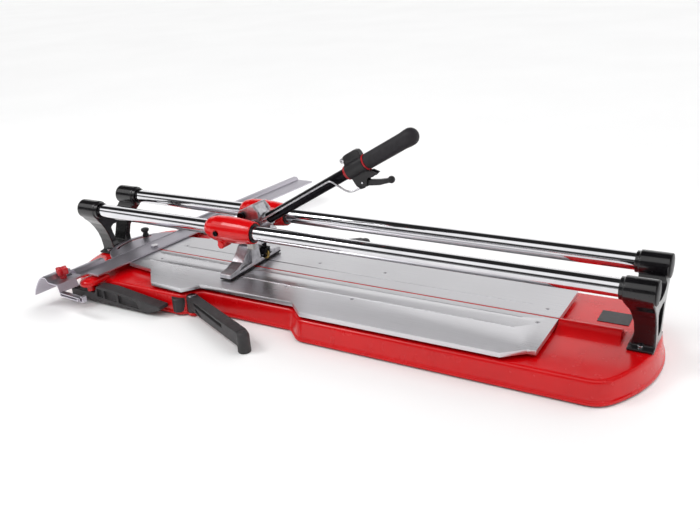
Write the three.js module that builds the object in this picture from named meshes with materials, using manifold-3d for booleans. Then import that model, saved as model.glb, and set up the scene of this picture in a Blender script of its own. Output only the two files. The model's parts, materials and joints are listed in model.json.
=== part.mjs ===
// A manual tile cutter: a pressed red base with two sprung aluminium beds, twin chrome guide bars
// on cast end supports, a sliding scoring and breaking carriage with a long lever, a swivelling
// measuring fence and four fold-out side arms.
// Millimetres. X runs along the cut, Y across it towards the back, Z up from the bench.
import * as THREE from 'three';
import { mergeVertices } from 'three/addons/utils/BufferGeometryUtils.js';
import Module from 'manifold-3d';

const wasm = await Module();
wasm.setup();

// ---------------------------------------------------------------- driving dimensions
const gap = 0.3; // between pieces that touch

const baseLength = 1240;
const baseWidth = 308; // across the rim of the pan
const baseEndRadius = 231; // plan radius of the rounded ends
const baseCornerRadius = 24;
const deckHeight = 44;
const panWall = 2;
const panFlare = 6.5; // how far the skirt leans out at the bottom
const panClearance = 3; // between the skirt and the bench
const footRadius = 17;

const recessStart = -242; // flat of the recess that each middle arm folds into
const recessEnd = -18;
const recessDepth = 31.5;
const recessSlopeStart = 25; // length of the slanted end nearer the fence
const recessSlopeEnd = 35;

const bedLength = 922;
const bedRightEnd = 452;
const bedTop = 59.7;
const bedThickness = 9;
const breakingRailThickness = 3.4;

const guideSpan = 1120; // between the collars of the end supports
const guideRadius = 15;
const guideHalfGauge = 58;
const guideHeight = 159.5;
const guideInsertion = 40; // length of guide held in each socket

const supportWidth = 42; // along X
const supportOuterEnd = 614;
const socketRadius = 21;

const fencePivotX = -476;
const fenceRestAngle = 4.3; // degrees the fence is swung from square
const fenceLength = 574; // from the pivot to the far end
const fenceTail = 245; // from the pivot to the near end of the rail
const fenceRight = 18.5; // tile face, to the right of the pivot
const fenceLeft = 50;
const fenceUnder = 60.6;
const fenceThickness = 3.4;
const fenceHump = 7.5;
const protractorRadius = 99;
const lockRadius = 86; // from the fence pivot to the lock stud
const lockAngle = 147; // degrees, plan angle of the lock stud seen from the pivot

const carriageX = -194; // middle of the two housings
const housingLength = 114;
const housingRadius = 27;
const bushWall = 3.4;
const leverPivotX = carriageX + 1;
const leverPivotHeight = 178;
const leverRestAngle = 29.9; // degrees above the horizontal
const leverDrop = 30.5; // from the pivot down to the tube's centreline
const leverLength = 398; // from the pivot to the end of the tube
const leverRadius = 11;
const gripStart = 313;
const gripRadius = 15;
const gripEnd = 414; // centre of the ball at the grip's end
const breakerX = -201;
const breakerHalfSpan = 88;
const breakerWidth = 27;
const wheelX = -162;
const wheelRadius = 11;

const middleArmX = -246;
const middleArmY = baseWidth / 2 - 11; // hinges just inside the rim
const armReach = 210; // from the hinge to the middle of the foot
const armWidth = 24;
const armTop = 41;
const armFootRadius = 12.5;
const frontArmAngle = 24.1; // degrees each middle arm is swung out
const rearArmAngle = 37;
const sideArmX = -545;
const sideArmY = baseWidth / 2 + 20.5; // hinges outside the rim
const sideArmWidth = 26;
const sideArmReach = 248;
const sideArmUnderEar = 27; // top of each side arm below its ear

// ---------------------------------------------------------------- finishes
const finish = (color, roughness, metalness) =>
  new THREE.MeshStandardMaterial({ color, roughness, metalness });
const redPaint = finish(0xd2060f, 0.3, 0);
const blackCasting = finish(0x1c1b1d, 0.4, 0);
const chrome = finish(0xe6e6e8, 0.08, 1);
const bareAluminium = finish(0xb4b3b5, 0.42, 1);
const anodisedAluminium = finish(0xa9a3ad, 0.45, 1);
const castAluminium = finish(0x9d9ba0, 0.5, 1);
const blackPlastic = finish(0x232224, 0.5, 0);
const greyPlastic = finish(0x39373a, 0.6, 0);
const redPlastic = finish(0xb3131c, 0.4, 0);
const rubber = finish(0x1f1d20, 0.8, 0);
const blackSteel = finish(0x2a2a2c, 0.4, 1);
const brightSteel = finish(0xc9c9cc, 0.3, 1);
const goldSteel = finish(0xb99a5a, 0.35, 1);
const labelVinyl = finish(0x2b2a2c, 0.5, 0);

// ---------------------------------------------------------------- making and joining solids
const radians = THREE.MathUtils.degToRad;
const point = (x, y) => new THREE.Vector2(x, y);
const unit = (x, y, z) => new THREE.Vector3(x, y, z);

// A three.js geometry as a manifold-3d solid.
function solid(geometry) {
  geometry.deleteAttribute('normal');
  geometry.deleteAttribute('uv');
  const merged = mergeVertices(geometry, 1e-4);
  const corners = merged.index.array;
  const kept = [];
  for (let i = 0; i < corners.length; i += 3) {
    const [a, b, c] = corners.slice(i, i + 3);
    if (a !== b && b !== c && c !== a) kept.push(a, b, c);
  }
  const vertProperties = new Float32Array(merged.getAttribute('position').array);
  const triVerts = new Uint32Array(kept);
  return new wasm.Manifold(new wasm.Mesh({ numProp: 3, vertProperties, triVerts }));
}

const join = (...solids) => solids.reduce((whole, next) => whole.add(next));
const cut = (blank, ...tools) => tools.reduce((left, tool) => left.subtract(tool), blank);

// The solid as a geometry that a mesh can show.
function toGeometry(made) {
  const { vertProperties, triVerts } = made.getMesh();
  const indexed = new THREE.BufferGeometry();
  indexed.setAttribute('position', new THREE.BufferAttribute(vertProperties, 3));
  indexed.setIndex(new THREE.BufferAttribute(triVerts, 1));
  const geometry = indexed.toNonIndexed();
  geometry.computeVertexNormals();
  return geometry;
}

// Turns a geometry made along Z so that it runs along the named axis. The outline's two
// numbers become the other two axes, in X, Y, Z order.
function turnTo(axis, geometry) {
  const turn = new THREE.Matrix4();
  if (axis === 'x') turn.makeBasis(unit(0, 1, 0), unit(0, 0, 1), unit(1, 0, 0));
  if (axis === 'y') turn.makeBasis(unit(1, 0, 0), unit(0, 0, 1), unit(0, -1, 0));
  return geometry.applyMatrix4(turn);
}
// An outline extruded from low to high along an axis.
function prism(axis, outline, low, high) {
  const geometry = new THREE.ExtrudeGeometry(new THREE.Shape(outline), {
    depth: high - low, bevelEnabled: false,
  });
  geometry.translate(0, 0, axis === 'y' ? -high : low);
  return solid(turnTo(axis, geometry));
}

const rectangle = (left, low, right, high) => [
  point(left, low), point(right, low), point(right, high), point(left, high),
];
const box = (x0, x1, y0, y1, z0, z1) => prism('z', rectangle(x0, y0, x1, y1), z0, z1);

// Points round an arc, in degrees, both ends included.
function arc(centreX, centreY, radius, from, to, steps) {
  return Array.from({ length: steps + 1 }, (_, i) => {
    const angle = radians(from + (to - from) * i / steps);
    return point(centreX + radius * Math.cos(angle), centreY + radius * Math.sin(angle));
  });
}
const circle = (x, y, radius, sides) => arc(x, y, radius, 0, 360, sides).slice(0, -1);
const cylinder = (axis, a, b, radius, low, high, sides = 24) =>
  prism(axis, circle(a, b, radius, sides), low, high);
const ring = (axis, a, b, outer, inner, low, high, sides = 24) =>
  cut(
    cylinder(axis, a, b, outer, low, high, sides),
    cylinder(axis, a, b, inner, low - 1, high + 1, sides),
  );

// A profile of [radius, height] pairs turned about an axis, with height along that axis.
function turned(profile, { axis = 'z', sides = 24 } = {}) {
  const points = profile.map(([radius, height]) => point(radius, height));
  const geometry = new THREE.LatheGeometry(points, sides);
  if (axis === 'z') geometry.rotateX(Math.PI / 2);
  if (axis === 'x') geometry.rotateZ(-Math.PI / 2);
  return geometry;
}

// A bar of round section swept along points of [x, y, z].
function wire(points, radius, steps) {
  const path = new THREE.CatmullRomCurve3(points.map((p) => unit(...p)), false, 'catmullrom', 0.2);
  const section = new THREE.Shape(circle(0, 0, radius, 8));
  return solid(new THREE.ExtrudeGeometry(section, { steps, extrudePath: path }));
}

// An outline whose marked corners, [x, y, radius], are rounded.
function rounded(corners, steps = 3) {
  const at = (i) => point(...corners[(i + corners.length) % corners.length]);
  return corners.flatMap(([x, y, radius = 0], i) => {
    const corner = point(x, y);
    const before = at(i - 1).sub(corner).normalize();
    const after = at(i + 1).sub(corner).normalize();
    if (radius === 0) return [corner];
    const half = before.angleTo(after) / 2;
    const start = before.clone().multiplyScalar(radius / Math.tan(half)).add(corner);
    const end = after.clone().multiplyScalar(radius / Math.tan(half)).add(corner);
    const curve = new THREE.QuadraticBezierCurve(start, corner, end);
    return curve.getPoints(steps);
  });
}

// An anticlockwise outline moved outwards by a distance.
function grown(outline, distance) {
  return outline.map((here, i) => {
    const before = outline.at(i - 1);
    const after = outline[(i + 1) % outline.length];
    const first = point(here.y - before.y, before.x - here.x).normalize();
    const second = point(after.y - here.y, here.x - after.x).normalize();
    const scale = distance / (1 + first.dot(second));
    return first.add(second).multiplyScalar(scale).add(here);
  });
}

// A closed skin through rings of [outline, height] with the same number of points.
function loft(rings) {
  const count = rings[0][0].length;
  const positions = rings.flatMap(([outline, z]) => outline.flatMap((p) => [p.x, p.y, z]));
  const faces = [];
  for (let level = 0; level < rings.length - 1; level += 1) {
    for (let i = 0; i < count; i += 1) {
      const a = level * count + i;
      const b = level * count + (i + 1) % count;
      faces.push(a, b, b + count, a, b + count, a + count);
    }
  }
  const top = (rings.length - 1) * count;
  for (const [a, b, c] of THREE.ShapeUtils.triangulateShape(rings[0][0], [])) faces.push(c, b, a);
  for (const [a, b, c] of THREE.ShapeUtils.triangulateShape(rings.at(-1)[0], [])) {
    faces.push(top + a, top + b, top + c);
  }
  const geometry = new THREE.BufferGeometry();
  geometry.setAttribute('position', new THREE.Float32BufferAttribute(positions, 3));
  geometry.setIndex(faces);
  return solid(geometry);
}

// ---------------------------------------------------------------- the assembly
const cutter = new THREE.Group();

function add(parent, name, made, material) {
  const mesh = new THREE.Mesh(made.isBufferGeometry ? made : toGeometry(made), material);
  mesh.name = name;
  parent.add(mesh);
  return mesh;
}

// The front half is the rear half mirrored across the cut line, so what comes in front and
// rear pairs is worked out for positive Y and placed in one of these two groups.
const rearHalf = new THREE.Group();
const frontHalf = new THREE.Group();
frontHalf.scale.y = -1;
cutter.add(rearHalf, frontHalf);
const halves = [['front', frontHalf], ['rear', rearHalf]];

// ---------------------------------------------------------------- base pan
const rimHalfWidth = baseWidth / 2;
const recessHalfWidth = rimHalfWidth - recessDepth;
const panUnderside = deckHeight - panWall;

// Plan outline of the rim, anticlockwise from the front corner of the right end.
function rimOutline() {
  const endCentre = baseLength / 2 - 3 - baseEndRadius;
  const cornerX = endCentre + Math.sqrt(baseEndRadius ** 2 - rimHalfWidth ** 2);
  const endAngle = THREE.MathUtils.radToDeg(Math.asin(rimHalfWidth / baseEndRadius));
  const cornerAngle = THREE.MathUtils.radToDeg(baseCornerRadius / baseEndRadius) * 0.45;
  const end = arc(endCentre, 0, baseEndRadius, cornerAngle - endAngle, endAngle - cornerAngle, 12);
  const corner = rounded([
    [end.at(-1).x, end.at(-1).y],
    [cornerX, rimHalfWidth, baseCornerRadius * 0.45],
    [cornerX - baseCornerRadius, rimHalfWidth],
  ]).slice(1, -1);
  const rightBack = [...end.slice(6), ...corner];
  const recess = [
    point(recessEnd + recessSlopeEnd, rimHalfWidth),
    point(recessEnd, recessHalfWidth),
    point(recessStart, recessHalfWidth),
    point(recessStart - recessSlopeStart, rimHalfWidth),
  ];
  const leftBack = rightBack.map((p) => point(-p.x, p.y)).reverse();
  const back = [...rightBack, ...recess, ...leftBack];
  const front = back.map((p) => point(p.x, -p.y)).reverse();
  return [...back, ...front.slice(1, -1)];
}

// The raised rib that runs on from the breaking rail towards a support.
function deckRib(from, to) {
  const half = [point(26, deckHeight), point(12, deckHeight + 8), point(4, bedTop)];
  const otherHalf = half.map((p) => point(-p.x, p.y)).reverse();
  const foot = [point(-26, deckHeight - 1), point(26, deckHeight - 1)];
  return prism('x', [...half, ...otherHalf, ...foot], from, to);
}

// The rounded ear over each side arm, with the stem that holds the arm down.
const earX = sideArmX + 50;
const earY = rimHalfWidth + 29;
const earTop = 55;
function armEar(side) {
  const dome = [
    [0, panUnderside + 1], [17, panUnderside + 1], [19, deckHeight + 1],
    [19, earTop - 6], [15, earTop - 2], [8, earTop - 0.5], [0, earTop],
  ];
  const head = solid(turned(dome).translate(earX, side * earY, 0));
  const neckPlan = rectangle(earX - 17, side * earY, earX + 17, side * (rimHalfWidth - 24));
  const neck = prism('z', neckPlan, panUnderside + 1, earTop - 4);
  const stem = cylinder(
    'z', earX, side * (earY - 3), 8.5, sideArmUnderEar + gap, deckHeight, 16,
  );
  return join(head, neck, stem);
}

// A tab at the skirt's foot that carries an arm's hinge pin.
const tabTop = 8;
function armTab(x, y, side) {
  const nose = arc(x, y, 13, 0, 180, 8).map((p) => point(p.x, side * p.y));
  const root = [point(x - 13, side * (y - 30)), point(x + 13, side * (y - 30))];
  return prism('z', [...nose, ...root], panClearance, tabTop);
}

function basePan() {
  const rim = rimOutline();
  const outer = loft([
    [grown(rim, panFlare), panClearance],
    [grown(rim, panFlare - 0.5), panClearance + 6],
    [grown(rim, panFlare - 1.6), panClearance + 7],
    [grown(rim, 1), deckHeight - 5],
    [grown(rim, -0.6), deckHeight - 1.8],
    [grown(rim, -4), deckHeight],
  ]);
  const hollow = loft([
    [grown(rim, panFlare - panWall), panClearance - 1],
    [grown(rim, 1 - panWall), panUnderside - 3],
    [grown(rim, -3 - panWall), panUnderside],
  ]);
  const outside = [
    deckRib(bedRightEnd + 2, guideSpan / 2),
    deckRib(-guideSpan / 2, bedRightEnd - bedLength - 2),
  ];
  for (const side of [-1, 1]) {
    outside.push(armEar(side));
    outside.push(armTab(sideArmX, sideArmY, side));
    outside.push(armTab(middleArmX, middleArmY, side));
  }
  const armRoots = [-1, 1].map((side) =>
    cylinder('z', middleArmX, side * middleArmY, armWidth / 2 + 1.5, tabTop, armTop + gap));
  return cut(join(outer, ...outside), hollow, ...armRoots);
}
add(cutter, 'base_pan', basePan(), redPaint);

const footSpots = { left: -540, right: 540 };
const footY = 125; // keeps clear of the rounded ends
function rubberFoot(x) {
  const profile = [
    [0, 0], [footRadius - 2, 0], [footRadius, 2], [footRadius - 2, 9],
    [9, 12], [9, panUnderside - gap], [0, panUnderside - gap],
  ];
  return solid(turned(profile, { sides: 16 }).translate(x, footY, 0));
}
for (const [half, group] of halves) {
  for (const [end, x] of Object.entries(footSpots)) {
    add(group, `${half}_${end}_foot`, rubberFoot(x), rubber);
  }
}

const labelPlate = box(505, 558, 47, 92, deckHeight + gap, deckHeight + gap + 0.7);
add(cutter, 'rear_label', labelPlate, labelVinyl);

// ---------------------------------------------------------------- beds and breaking rail
const bedLeftEnd = bedRightEnd - bedLength;
const bedUnderside = bedTop - bedThickness;
const halfRail = breakingRailThickness / 2;
const railBlade = box(bedLeftEnd, bedRightEnd, -halfRail, halfRail, deckHeight + gap, bedTop);
add(cutter, 'breaking_rail', railBlade, redPaint);

// One bed for the rear half: grooves are the Y places of its shallow straight grooves.
const bedScrewSpots = [[-415, 42], [-70, 63], [82, 67], [424, 28.5]];
function bed(grooves) {
  const inner = halfRail + 0.8;
  const outline = [
    point(bedLeftEnd, inner),
    point(bedRightEnd, inner),
    point(bedRightEnd, rimHalfWidth - 30),
    point(bedRightEnd - 15, rimHalfWidth - 29),
    point(bedRightEnd - 50, rimHalfWidth - 1),
    point(recessEnd + recessSlopeEnd + 3, rimHalfWidth),
    point(recessEnd + 2, recessHalfWidth),
    point(recessStart + 2, recessHalfWidth + 1),
    point(recessStart - recessSlopeStart + 4, rimHalfWidth + 1),
    point(bedLeftEnd + 124, rimHalfWidth - 3),
    point(bedLeftEnd + 72, rimHalfWidth - 57),
    point(bedLeftEnd, rimHalfWidth - 67),
  ];
  const blank = prism('z', outline, bedUnderside, bedTop);
  const screwHoles = bedScrewSpots.map(([x, y]) =>
    cylinder('z', x, y, 4.2, bedUnderside - 1, bedTop + 1, 12));
  const cuts = grooves.map((y) =>
    box(bedLeftEnd + 30, bedRightEnd - 58, y - 1.3, y + 1.3, bedTop - 0.8, bedTop + 1));
  return cut(blank, ...screwHoles, ...cuts);
}
add(frontHalf, 'front_bed', bed([18, 59]), bareAluminium);
add(rearHalf, 'rear_bed', bed([38]), bareAluminium);

for (const [half, group] of halves) {
  for (const [end, x] of Object.entries({ left: -380, right: 360 })) {
    const buffer = cylinder('z', x, 75, 11, deckHeight + gap, bedUnderside - gap, 16);
    add(group, `${half}_bed_buffer_${end}`, buffer, rubber);
  }
}

// ---------------------------------------------------------------- end supports and guides
const guideClear = guideRadius + gap;

// The right support, in place: a casting with two spreading legs and a window between them.
function guideSupport() {
  const base = deckHeight + gap;
  const innerX = guideSpan / 2;
  const outerHalf = [
    point(40, base), point(40, 49), point(28, 50.5), point(28, 60), point(30, 76), point(35, 92),
    point(43, 108), point(53, 123), point(65, 135), point(74, 146), point(74, 152),
    point(43, 152), point(35, 138), point(25, 131), point(10, 128),
  ];
  const across = [...outerHalf, ...outerHalf.map((p) => point(-p.x, p.y)).reverse()];
  const windowHalf = [
    point(9, 63), point(16, 80), point(22, 98), point(25, 108), point(18, 113),
  ];
  const windowOutline = [...windowHalf, ...windowHalf.map((p) => point(-p.x, p.y)).reverse()];
  const along = [
    point(supportOuterEnd - supportWidth, base), point(supportOuterEnd, base),
    point(supportOuterEnd, 136), point(supportOuterEnd - 6, 152), point(innerX + 8, 152),
    point(innerX + 8, 140), point(innerX + 15, 120), point(innerX + 19, 96),
    point(innerX + 20, 72), point(innerX + 16, 54), point(innerX + 12, 50),
  ];
  const legs = prism('x', across, innerX, supportOuterEnd + 1)
    .intersect(prism('y', along, -90, 90));
  const window = prism('x', windowOutline, innerX, supportOuterEnd + 1);
  let casting = cut(legs, window);
  for (const y of [-guideHalfGauge, guideHalfGauge]) {
    const socket = cylinder('x', y, guideHeight, socketRadius, innerX + 7, supportOuterEnd, 28);
    const collar = cylinder('x', y, guideHeight, socketRadius - 2.5, innerX, innerX + 8, 28);
    casting = join(casting, socket, collar);
  }
  const bores = [-guideHalfGauge, guideHalfGauge].map((y) =>
    cylinder('x', y, guideHeight, guideClear, innerX - 1, supportOuterEnd + 1, 28));
  return cut(casting, ...bores);
}
for (const [name, turn] of [['right_guide_support', 0], ['left_guide_support', Math.PI]]) {
  add(cutter, name, guideSupport(), blackCasting).rotation.z = turn;
}

const guideEnd = guideSpan / 2 + guideInsertion;
for (const [half, group] of halves) {
  const bar = cylinder(
    'x', guideHalfGauge, guideHeight, guideRadius, -guideEnd, guideEnd, 28,
  );
  add(group, `${half}_guide_bar`, bar, chrome);
}

// A domed plug that closes a socket behind the guide.
function guideCap() {
  const face = supportOuterEnd + gap;
  const profile = [
    [0, guideEnd + gap], [guideRadius - gap, guideEnd + gap], [guideRadius - gap, face],
    [socketRadius - 1, face], [socketRadius - 2.5, face + 2], [12, face + 3], [0, face + 3.4],
  ];
  return turned(profile, { axis: 'x', sides: 28 }).translate(0, guideHalfGauge, guideHeight);
}
for (const [half, group] of halves) {
  const rightCap = solid(guideCap());
  add(group, `${half}_right_guide_cap`, rightCap, blackPlastic);
  const leftCap = add(group, `${half}_left_guide_cap`, rightCap, blackPlastic);
  leftCap.scale.x = -1;
}

// ---------------------------------------------------------------- measuring fence
const fence = new THREE.Group();
fence.position.x = fencePivotX;
fence.rotation.z = -radians(fenceRestAngle);
cutter.add(fence);

const fenceTop = fenceUnder + fenceThickness;
const humpTop = fenceTop + fenceHump;
const humpRight = 31;
const protractorEdge = humpRight + 1;
const pivotRadius = 5;
const tongueRight = -13; // the rail's near end is a tongue inside the stop
const stopNear = -256;
const stopFar = -196;
const stopTravel = 18;
const tongueStart = -176; // past the base's rim
const flangeDepth = 10; // of the stop's hollow flange and hook
const clampU = -31;
const clampV = -224;
const clampStudRadius = 3;
function fenceRail() {
  const profile = [
    point(-fenceLeft, fenceUnder), point(fenceRight, fenceUnder), point(fenceRight, fenceTop),
    point(-humpRight, fenceTop), point(4 - protractorEdge - 7, humpTop),
    point(4 - fenceLeft, humpTop), point(-fenceLeft, humpTop - 3.5),
  ];
  const bar = prism('y', profile, -fenceTail, fenceLength);
  const reach = protractorRadius + 16;
  const seat = box(
    -fenceLeft - 1, gap - protractorEdge, -reach, reach, fenceUnder - 1, humpTop + 1,
  );
  const tongueSide = box(tongueRight, 30, -300, tongueStart, fenceUnder - 1, humpTop + 1);
  const tongueTop = box(-60, 30, -300, stopFar + 3, fenceTop, humpTop + 1);
  const pivotHole = cylinder('z', 0, 0, pivotRadius + gap, fenceUnder - 1, humpTop, 16);
  const studHole = cylinder('z', clampU, clampV, clampStudRadius + gap, 60, humpTop, 12);
  return cut(bar, seat, tongueSide, tongueTop, pivotHole, studHole);
}
add(fence, 'fence_rail', fenceRail(), anodisedAluminium);

// The half disc with the curved slot that the lock stud runs in.
const slotHalfWidth = 4;
function protractor() {
  const limit = THREE.MathUtils.radToDeg(Math.acos(protractorEdge / protractorRadius));
  const outline = arc(0, 0, protractorRadius, 180 - limit, 180 + limit, 28);
  const from = lockAngle - 4;
  const to = lockAngle + 68;
  const slot = [
    ...arc(0, 0, lockRadius + slotHalfWidth, from, to, 12),
    ...arc(0, 0, lockRadius - slotHalfWidth, to, from, 12),
  ];
  const top = fenceTop - 0.6;
  return cut(prism('z', outline, fenceUnder, top), prism('z', slot, fenceUnder - 1, top + 1));
}
add(fence, 'protractor', protractor(), anodisedAluminium);

const pivotBolt = join(
  cylinder('z', fencePivotX, 0, pivotRadius, bedTop + gap, fenceTop + gap + 1, 16),
  cylinder('z', fencePivotX, 0, 8.5, fenceTop + gap, fenceTop + 4.5, 6),
);
add(cutter, 'fence_pivot_bolt', pivotBolt, brightSteel);

// A wall of even thickness along a bent line.
function strip(line, thickness) {
  const points = line.map(([x, y]) => point(x, y));
  const shifted = (distance) => points.map((here, i) => {
    const before = points[Math.max(i - 1, 0)];
    const after = points[Math.min(i + 1, points.length - 1)];
    const way = after.clone().sub(before).normalize();
    return point(here.x - way.y * distance, here.y + way.x * distance);
  });
  return [...shifted(thickness / 2), ...shifted(-thickness / 2).reverse()];
}

// The sliding stop at the fence's near end: a bent skin, a hollow flange and a hook.
const stopSkinHeight = 66.5; // middle of the stop's wall over the tongue
const stopWall = 2.4;
function fenceStop() {
  const skin = strip([
    [-96, 28], [-90, 42], [-80, 56], [-69, 68], [-59, 74.5], [-46, 75], [-40, stopSkinHeight],
    [-10, stopSkinHeight], [-5, 50],
  ], stopWall);
  const flange = rectangle(-6.3, 43, 50, 51.5);
  const flangeHollow = rectangle(-3.6, 45.4, 47.6, 49.1);
  const hook = strip([[49, 50.2], [57, 50.2], [57, 44.3], [66, 44.3], [66, 55], [61, 55]], 2.2);
  const shell = join(
    prism('y', skin, stopNear, stopFar),
    cut(
      prism('y', flange, stopNear, stopNear + flangeDepth),
      prism('y', flangeHollow, stopNear - 1, stopNear + flangeDepth + 1),
    ),
    prism('y', hook, stopNear, stopNear + flangeDepth),
  );
  const slotWidth = clampStudRadius + 0.4;
  const slotEnds = [0, stopTravel].map((travel) =>
    cylinder('z', clampU, clampV + travel, slotWidth, 60, 70, 12));
  const slot = box(
    clampU - slotWidth, clampU + slotWidth, clampV, clampV + stopTravel, 60, 70,
  );
  const earRelief = box(-9.5, 0, stopFar - 14, stopFar + 1, 40, 65);
  return cut(shell, slot, ...slotEnds, earRelief);
}
add(fence, 'fence_stop', fenceStop(), anodisedAluminium);

const clampHubBottom = stopSkinHeight + stopWall / 2 + gap;
const clampStud = join(
  cylinder('z', clampU, clampV, clampStudRadius, fenceUnder - 1, clampHubBottom + 8, 12),
  cylinder('z', clampU, clampV, 6, fenceUnder - gap - 3, fenceUnder - gap, 6),
);
add(fence, 'stop_clamp_stud', clampStud, brightSteel);

// A four-lobed knob head.
function lobedKnob(x, y, bottom, hubTop, top) {
  const lobes = Array.from({ length: 40 }, (_, i) => {
    const angle = radians(i * 9 + 20);
    const radius = 11.2 + 3 * Math.cos(4 * (angle - radians(20)));
    return point(x + radius * Math.cos(angle), y + radius * Math.sin(angle));
  });
  const hub = cylinder('z', x, y, 7, bottom, hubTop + 1, 16);
  const rim = loft([
    [grown(lobes, -1.5), hubTop], [lobes, hubTop + 1.5],
    [lobes, top - 1.5], [grown(lobes, -1.5), top],
  ]);
  const bore = cylinder('z', x, y, clampStudRadius + gap, bottom - 1, bottom + 8 + gap, 12);
  return cut(join(hub, rim), bore);
}
const clampKnob = lobedKnob(clampU, clampV, clampHubBottom, clampHubBottom + 9, 90.5);
add(fence, 'stop_clamp_knob', clampKnob, redPlastic);

const lockX = fencePivotX + lockRadius * Math.cos(radians(lockAngle));
const lockY = lockRadius * Math.sin(radians(lockAngle));
const lockStud = cylinder('z', lockX, lockY, 3, deckHeight + gap, fenceTop + 8, 12);
add(cutter, 'angle_lock_stud', lockStud, brightSteel);

function lockKnob() {
  const bottom = fenceTop;
  const profile = [
    [0, bottom], [7, bottom], [7, bottom + 5], [5.5, bottom + 9], [8, bottom + 13],
    [9.5, bottom + 16], [8.5, bottom + 19.5], [4, bottom + 20.5], [0, bottom + 20.5],
  ];
  const knob = solid(turned(profile, { sides: 16 }).translate(lockX, lockY, 0));
  return cut(knob, cylinder('z', lockX, lockY, 3 + gap, bottom - 1, bottom + 8 + gap, 12));
}
add(cutter, 'angle_lock_knob', lockKnob(), blackPlastic);

// ---------------------------------------------------------------- side arms
const armPinRadius = 5;
const armBottom = tabTop + gap;

// Each middle arm lies along X from its hinge before it is swung out.
function middleArm() {
  const half = armWidth / 2;
  const side = [
    point(0, 19), point(50, 14), point(armReach, 13), point(armReach, 38),
    point(armReach - 8, armTop), point(0, armTop),
  ];
  const footProfile = [
    [0, 0], [armFootRadius - 1, 0], [armFootRadius, 1.5], [armFootRadius - 0.5, armTop - 7],
    [armFootRadius - 3, armTop - 2], [armFootRadius - 7, armTop], [0, armTop],
  ];
  const foot = solid(turned(footProfile, { sides: 20 }).translate(armReach, 0, 0));
  const root = cylinder('z', 0, 0, half, armBottom, armTop, 20);
  const beam = prism('y', side, 1 - half, half - 1);
  const outerFace = half + 1;
  const slot = prism('y', [
    point(27, 32), point(147, 28), point(147, 35), point(27, 38.5),
  ], half - 7, outerFace);
  const pocket = prism('y', [point(32, 28), point(30, 18.5), point(60, 18)], half - 7, outerFace);
  const hole = cylinder('z', 0, 0, armPinRadius + gap, 0, armTop + 1, 16);
  return cut(join(beam, root, foot), slot, pocket, hole);
}

function sideArm() {
  const half = sideArmWidth / 2;
  const side = [
    point(0, armBottom), point(214, 6.5), point(sideArmReach, 18), point(sideArmReach, 25),
    point(183, 33), point(115, 41.5), point(74, 41.5), point(66, sideArmUnderEar),
    point(0, sideArmUnderEar),
  ];
  const beam = prism('y', side, -half, half);
  const root = cylinder('z', 0, 0, half, armBottom, sideArmUnderEar, 20);
  const outerFace = half + 1;
  const pockets = [
    [point(72, 19), point(90, 18), point(90, 36), point(74, 36)],
    [point(94, 17), point(128, 15), point(128, 34), point(94, 36)],
    [point(134, 14), point(190, 11), point(186, 26), point(134, 33)],
  ].map((outline) => prism('y', outline, half - 6, outerFace));
  const hole = cylinder('z', 0, 0, armPinRadius + gap, 0, armTop + 1, 16);
  return cut(join(beam, root), ...pockets, hole);
}

function hingePin(x, y, top) {
  return join(
    cylinder('z', x, y, armPinRadius, armBottom, top + 1, 16),
    cylinder('z', x, y, 9, top + gap, top + 3, 16),
  );
}

const middleAngles = { front: frontArmAngle, rear: rearArmAngle };
for (const [half, group] of halves) {
  const hinge = new THREE.Group();
  hinge.position.set(middleArmX, middleArmY, 0);
  hinge.rotation.z = radians(middleAngles[half]);
  group.add(hinge);
  add(hinge, `${half}_middle_arm`, middleArm(), greyPlastic);
  add(group, `${half}_middle_arm_pin`, hingePin(middleArmX, middleArmY, armTop), brightSteel);

  const sideHinge = new THREE.Group();
  sideHinge.position.set(sideArmX, sideArmY, 0);
  group.add(sideHinge);
  add(sideHinge, `${half}_side_arm`, sideArm(), greyPlastic);
  add(group, `${half}_side_arm_pin`, hingePin(sideArmX, sideArmY, sideArmUnderEar), brightSteel);
}

// ---------------------------------------------------------------- carriage
const bushRadius = guideClear + bushWall;
const housingHalf = housingLength / 2;
function guideHousing() {
  const profile = [
    [0, -housingHalf], [guideRadius + 2.6, -housingHalf], [22.5, 8 - housingHalf],
    [housingRadius - 1, 23 - housingHalf], [housingRadius, -8], [housingRadius - 1, 22],
    [housingRadius - 3.5, housingHalf - 11], [21.8, housingHalf], [0, housingHalf],
  ];
  const barrel = solid(turned(profile, { axis: 'x', sides: 28 })
    .translate(carriageX, guideHalfGauge, guideHeight));
  const lobe = cylinder('y', carriageX - 16, guideHeight - 28, 7.5, 52, 80, 16);
  const lobeWeb = box(carriageX - 26, carriageX - 6, 54, 76, guideHeight - 26, guideHeight - 10);
  const screwSeat = cylinder('y', carriageX - 21, guideHeight - 2, 6.5, 82, 90, 16);
  const bushBore = cylinder(
    'x', guideHalfGauge, guideHeight, bushRadius + gap,
    carriageX - housingHalf + 11, carriageX + housingHalf + 1, 28,
  );
  const guideBore = cylinder(
    'x', guideHalfGauge, guideHeight, guideClear + gap,
    carriageX - housingHalf - 1, carriageX + housingHalf, 28,
  );
  return cut(join(barrel, lobe, lobeWeb), screwSeat, bushBore, guideBore);
}
function guideBush() {
  return ring(
    'x', guideHalfGauge, guideHeight, bushRadius, guideClear,
    carriageX - housingHalf + 11 + gap, carriageX + housingHalf + 1.5, 28,
  );
}
for (const [half, group] of halves) {
  add(group, `${half}_guide_housing`, guideHousing(), redPaint);
  add(group, `${half}_guide_bush`, guideBush(), blackPlastic);
}

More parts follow.
